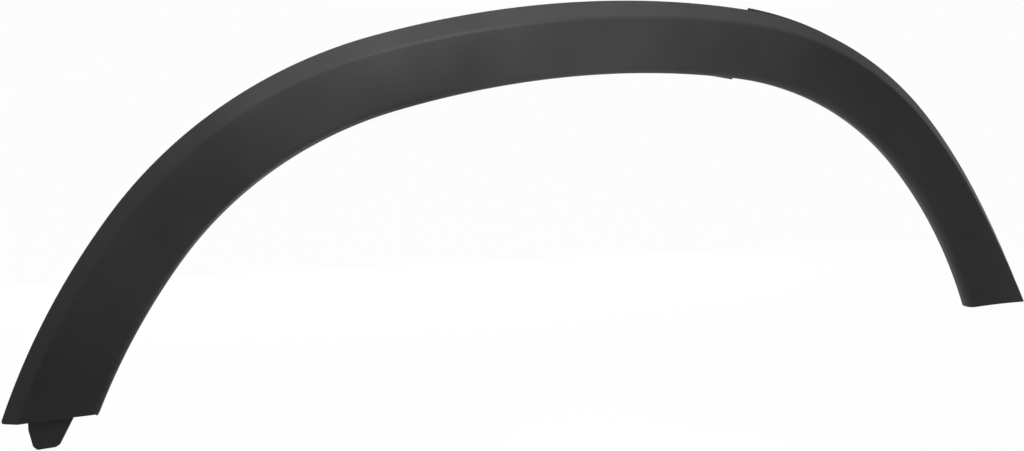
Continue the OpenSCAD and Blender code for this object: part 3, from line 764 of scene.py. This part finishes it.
def natural_nylon():
    """Moulded natural nylon: milky ivory that lets a little light in, with a satin skin."""
    material, tree = new_material("Moulded natural nylon, satin")
    place = add(tree, "ShaderNodeTexCoord").outputs["Object"]
    # Milky clouding about 6 mm across
    cloud = add(tree, "ShaderNodeTexNoise", {"Vector": place, "Scale": 160, "Detail": 2})
    tone = add(tree, "ShaderNodeValToRGB", {"Fac": cloud.outputs["Fac"]})
    tone.color_ramp.elements[0].color, tone.color_ramp.elements[1].color = colour("#cfccbd"), colour("#dedbcf")
    # Faint ripple of the mould's turned surface, about 1 mm
    ripple = add(tree, "ShaderNodeTexNoise", {"Vector": place, "Scale": 900, "Detail": 1})
    bump = add(tree, "ShaderNodeBump", {"Height": ripple.outputs["Fac"], "Strength": 0.15, "Distance": 0.00005})
    shader = add(tree, "ShaderNodeBsdfPrincipled", {
        "Base Color": tone.outputs["Color"], "Normal": bump.outputs["Normal"], "Roughness": 0.38, "IOR": 1.53,
        "Subsurface Weight": 0.3, "Subsurface Radius": (0.003, 0.003, 0.0024), "Subsurface Scale": 0.5})
    add(tree, "ShaderNodeOutputMaterial", {"Surface": shader.outputs[0]})
    return material


def white_surroundings(tree):
    """1 for the rays that see the studio white: those of the camera, and mirrored or refracted ones."""
    path = add(tree, "ShaderNodeLightPath").outputs
    mirrored = add(tree, "ShaderNodeMath", {0: path["Is Glossy Ray"], 1: path["Is Transmission Ray"]},
                   operation="ADD", use_clamp=True)
    return add(tree, "ShaderNodeMath", {0: path["Is Camera Ray"], 1: mirrored.outputs[0]},
               operation="ADD", use_clamp=True).outputs[0]


def studio_floor():
    """Matt white studio floor: it is seen near white, and keeps a trace of the trim's shadow."""
    material, tree = new_material("Matt white studio floor")
    place = add(tree, "ShaderNodeTexCoord").outputs["Object"]
    # Faint unevenness of a painted floor, a quarter of a metre across
    cloud = add(tree, "ShaderNodeTexNoise", {"Vector": place, "Scale": 4, "Detail": 2})
    tone = add(tree, "ShaderNodeValToRGB", {"Fac": cloud.outputs["Fac"]})
    tone.color_ramp.elements[0].color, tone.color_ramp.elements[1].color = colour("#f2f2f2"), colour("#f6f6f6")
    lit = add(tree, "ShaderNodeBsdfDiffuse", {"Color": tone.outputs["Color"]})
    glow = add(tree, "ShaderNodeEmission", {"Color": colour("#ffffff"), "Strength": 1.0})
    seen = add(tree, "ShaderNodeMath", {0: white_surroundings(tree), 1: FLOOR_GLOW}, operation="MULTIPLY")
    both = add(tree, "ShaderNodeMixShader", {"Fac": seen.outputs[0], 1: lit.outputs[0], 2: glow.outputs[0]})
    add(tree, "ShaderNodeOutputMaterial", {"Surface": both.outputs[0]})
    return material


# Camera, floor and light

def place_camera():
    camera = bpy.data.objects.new("camera", bpy.data.cameras.new("camera"))
    bpy.context.scene.collection.objects.link(camera)
    camera.location = CAMERA_AT
    camera.rotation_euler = (math.radians(90 - CAMERA_DOWN), 0, math.radians(-CAMERA_TO_RIGHT))
    camera.data.lens = CAMERA_LENS
    camera.data.sensor_width = 36
    camera.data.clip_start = 0.05
    bpy.context.scene.camera = camera


def sweep_floor():
    """Floor just under the lower end of the trim, swept up into a backdrop far behind it."""
    turns = [math.radians(6 * i) for i in range(16)]
    profile = [(FLOOR_FRONT, 0)]
    profile += [(SWEEP_AT + SWEEP_R * math.sin(a), SWEEP_R - SWEEP_R * math.cos(a)) for a in turns]
    profile.append((SWEEP_AT + SWEEP_R, BACKDROP_H))
    points = [(x, y, FLOOR_Z + h) for y, h in profile for x in (-FLOOR_W / 2, FLOOR_W / 2)]
    faces = [(2 * i, 2 * i + 1, 2 * i + 3, 2 * i + 2) for i in range(len(profile) - 1)]
    floor = from_points("floor", points, faces)
    floor.data.materials.append(studio_floor())
    smooth(floor, 60)


def softbox(name, place, aim, size, watts):
    """A rectangular area light, aimed at a point."""
    data = bpy.data.lights.new(name, "AREA")
    data.shape = "RECTANGLE"
    data.size, data.size_y = size
    data.energy = watts
    lamp = bpy.data.objects.new(name, data)
    lamp.location = place
    lamp.visible_camera = False
    lamp.rotation_euler = (Vector(aim) - Vector(place)).to_track_quat("-Z", "Y").to_euler()
    bpy.context.scene.collection.objects.link(lamp)


def light():
    """A world that is white where it is seen and dim where it lights, and the softboxes."""
    world = bpy.data.worlds.new("studio")
    bpy.context.scene.world = world
    world.use_nodes = True
    tree = world.node_tree
    tree.nodes.clear()
    dim, white = [add(tree, "ShaderNodeBackground", {"Color": colour("#ffffff"), "Strength": strength})
                  for strength in (WORLD_LIGHT, 1.0)]
    both = add(tree, "ShaderNodeMixShader", {
        "Fac": white_surroundings(tree), 1: dim.outputs[0], 2: white.outputs[0]})
    add(tree, "ShaderNodeOutputWorld", {"Surface": both.outputs[0]})
    for name, place, aim, size, watts in SOFTBOXES:
        softbox(name, place, aim, size, watts)


place_camera()
trim_plastic = moulded_black_polypropylene()
band = make_band(trim_plastic)
back = merged("back", back_parts())
back.data.materials.append(trim_plastic)
smooth(back)
smooth(band, 50)
with bpy.context.temp_override(active_object=band, selected_editable_objects=[band, back]):
    bpy.ops.object.join()
band.name = "trim_moulding"
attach(band, "root")
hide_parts("arch_moulding")

nylon = natural_nylon()
for number, (side, s) in enumerate(SEATS, 1):
    clip = merged(f"push_clip_{number}", [(clip_part(), [on_back(side, s, mid_n(side, s))])])
    clip.data.materials.append(nylon)
    smooth(clip, 40)
    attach(clip, "root")
    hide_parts(f"clip_{number}")

sweep_floor()
light()
bpy.context.scene.view_settings.view_transform = "Standard"
